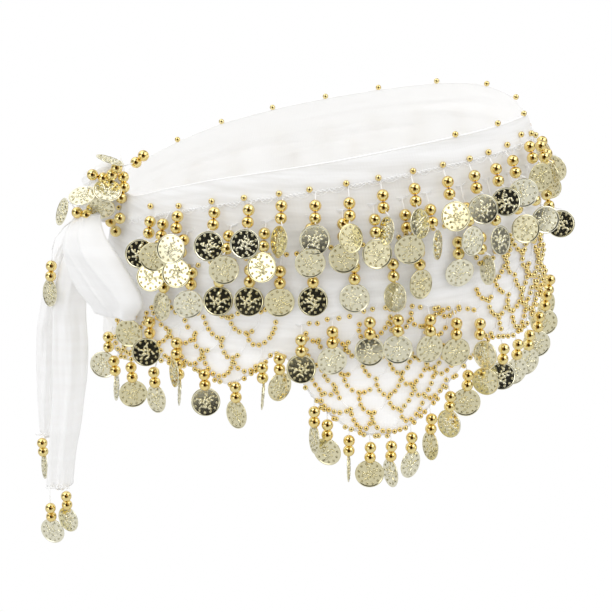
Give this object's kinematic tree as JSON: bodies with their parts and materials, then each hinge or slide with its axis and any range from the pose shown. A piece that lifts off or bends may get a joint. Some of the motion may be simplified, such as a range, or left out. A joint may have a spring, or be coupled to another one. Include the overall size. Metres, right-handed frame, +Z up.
{
  "type": "belly dance hip scarf",
  "caption": "Thin white cloth hip scarf worn as a ring, tied at one side in a knot with a loop and two tails, with a tongued hem, crocheted nets and hanging beads and coins",
  "frame": {"origin": "middle of the waist opening, level with the mean height of the rim, where the wearer's waist holds the scarf", "axes": "+Z up, +Y to the back of the wearer, -Y the front that the picture shows, knot at -X"},
  "size_m": [0.4051, 0.2865, 0.3339],
  "materials": {
    "white_cloth": "thin matt white chiffon",
    "white_thread": "white crochet cotton",
    "gold_trim": "bright gold-tone beads and thin stamped coins"
  },
  "bodies": {
    "root": {"cloth_wrap": "white_cloth", "knot": "white_cloth", "bow_loop": "white_cloth", "tail_front": "white_cloth", "tail_back": "white_cloth", "net_left": "white_thread", "net_centre": "white_thread", "net_right": "white_thread", "net_back_right": "white_thread", "net_back": "white_thread", "net_back_left": "white_thread", "waist_strands": "gold_trim", "second_strands": "gold_trim", "third_strands": "gold_trim", "arch_strands": "gold_trim", "hem_strands": "gold_trim", "waist_strands_back": "gold_trim", "second_strands_back": "gold_trim", "third_strands_back": "gold_trim", "hem_strands_back": "gold_trim", "knot_strands": "gold_trim", "tassel_front": "gold_trim", "tassel_back": "gold_trim"}
  },
  "joints": []
}
